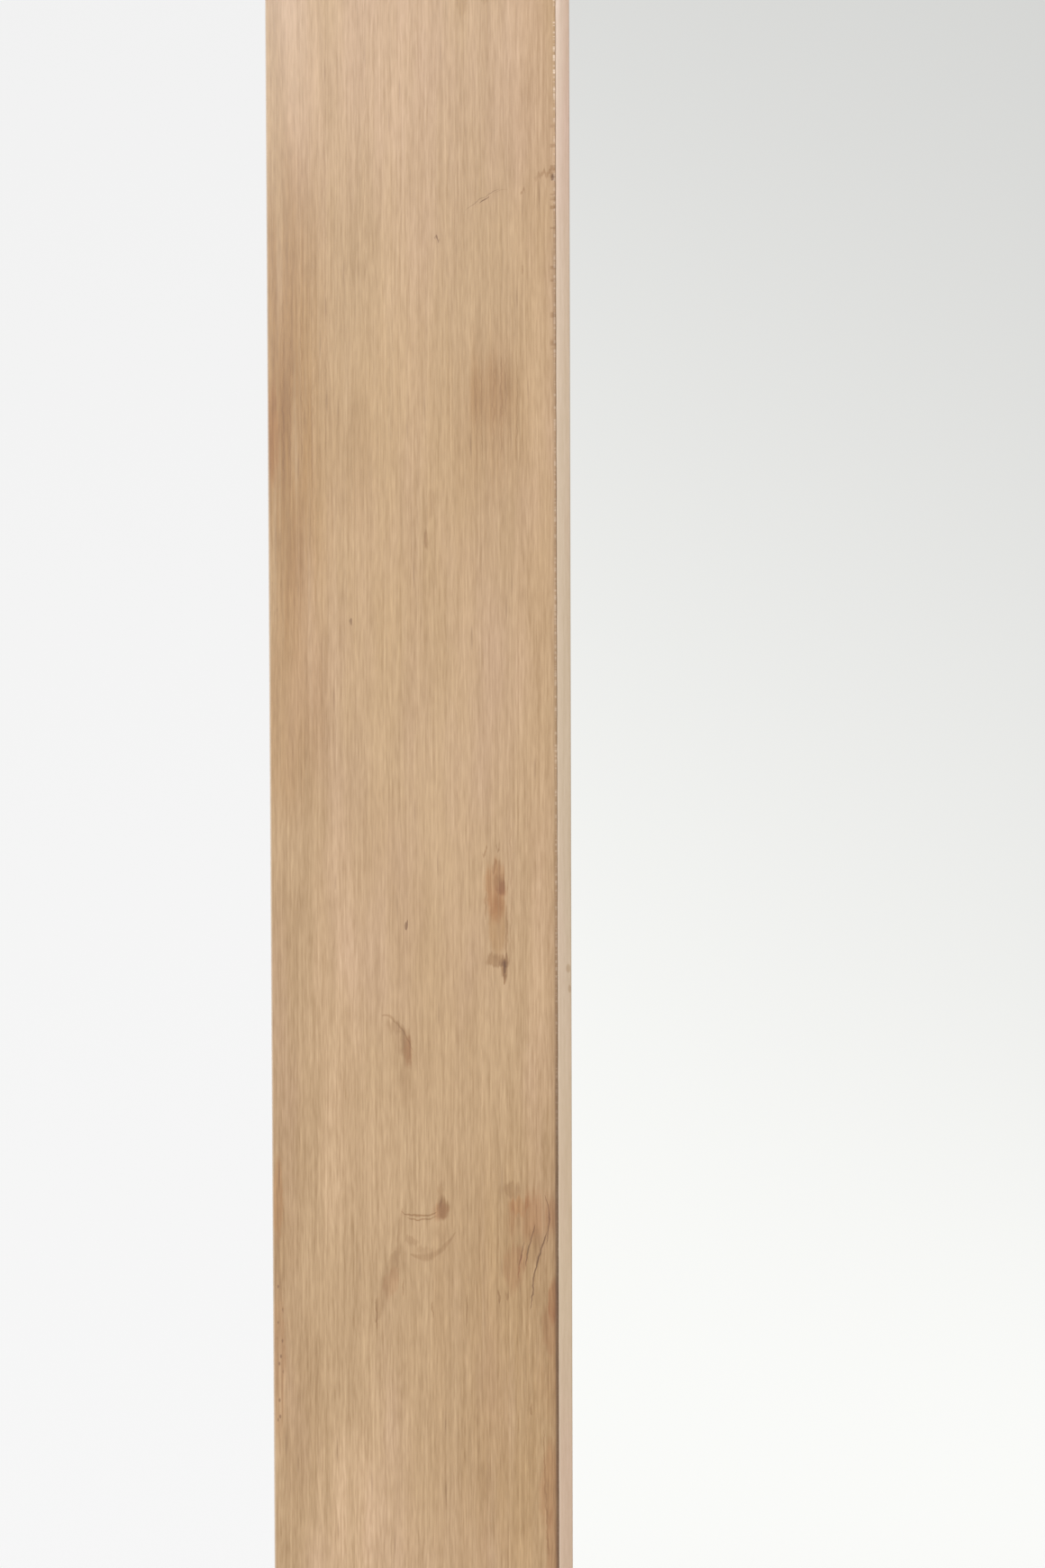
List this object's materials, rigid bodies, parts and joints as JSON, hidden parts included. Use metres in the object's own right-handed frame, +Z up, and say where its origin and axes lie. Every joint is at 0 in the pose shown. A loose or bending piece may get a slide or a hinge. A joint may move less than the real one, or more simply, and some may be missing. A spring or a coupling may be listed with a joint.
{
  "type": "cheval floor mirror",
  "caption": "Full-length mirror in a mitred satin wood frame that tilts between two posts on clamping pivots, standing on bar feet.",
  "frame": {"origin": "on the floor, midway between the posts and in line with the pivots", "axes": "+Z up, +X to the right seen from the front, the mirror faces -Y"},
  "size_m": [0.635, 0.42, 1.64],
  "materials": {
    "frame_wood": "satin",
    "slip_wood": "satin",
    "stand_wood": "satin",
    "silvered_glass": "polished",
    "hardboard": "matte",
    "hidden_wood": "matte",
    "foam": "matte",
    "spacer_plastic": "matte",
    "nylon": "satin",
    "cap_plastic": "satin",
    "zinc_steel": "satin",
    "brass": "satin",
    "pad_rubber": "matte"
  },
  "bodies": {
    "stand": {"post_left": "stand_wood", "post_right": "stand_wood", "foot_left": "stand_wood", "foot_right": "stand_wood", "stretcher": "stand_wood", "foot_pads": "pad_rubber", "foot_bolts": "zinc_steel", "foot_barrel_nuts": "zinc_steel", "stretcher_bolts": "zinc_steel", "stretcher_barrel_nuts": "zinc_steel", "stretcher_dowels": "hidden_wood", "bolt_caps": "cap_plastic", "pivot_bushes": "brass", "friction_washers": "nylon"},
    "mirror": {"stile_left": "frame_wood", "stile_right": "frame_wood", "rail_top": "frame_wood", "rail_bottom": "frame_wood", "slip_left": "slip_wood", "slip_right": "slip_wood", "slip_top": "slip_wood", "slip_bottom": "slip_wood", "corner_splines": "hidden_wood", "mirror_glass": "silvered_glass", "glass_spacers": "spacer_plastic", "foam_strips": "foam", "back_panel": "hardboard", "panel_screws": "zinc_steel", "pivot_inserts": "brass", "stile_washers": "zinc_steel"},
    "washer_left": {"knob_washer_left": "brass"},
    "washer_right": {"knob_washer_right": "brass"},
    "clamp_left": {"knob_left": "stand_wood", "knob_stud_left": "zinc_steel"},
    "clamp_right": {"knob_right": "stand_wood", "knob_stud_right": "zinc_steel"}
  },
  "joints": [
    {"name": "mirror_tilt", "type": "hinge", "parent": "stand", "child": "mirror", "pos_m": [0, 0, 0.905], "axis": [1, 0, 0], "continuous": true},
    {"name": "knob_travel_left", "type": "slide", "parent": "mirror", "child": "washer_left", "axis": [-1, 0, 0], "range_m": [0, 0.0025]},
    {"name": "knob_turn_left", "type": "hinge", "parent": "washer_left", "child": "clamp_left", "pos_m": [-0.2875, 0, 0.905], "axis": [-1, 0, 0], "range_deg": [0, 720]},
    {"name": "knob_travel_right", "type": "slide", "parent": "mirror", "child": "washer_right", "axis": [1, 0, 0], "range_m": [0, 0.0025]},
    {"name": "knob_turn_right", "type": "hinge", "parent": "washer_right", "child": "clamp_right", "pos_m": [0.2875, 0, 0.905], "axis": [1, 0, 0], "range_deg": [0, 720]}
  ],
  "couplings": [
    {"joint": "knob_turn_left", "follows": "knob_travel_left", "rad_per_m": 5026.5},
    {"joint": "knob_turn_right", "follows": "knob_travel_right", "rad_per_m": 5026.5}
  ]
}
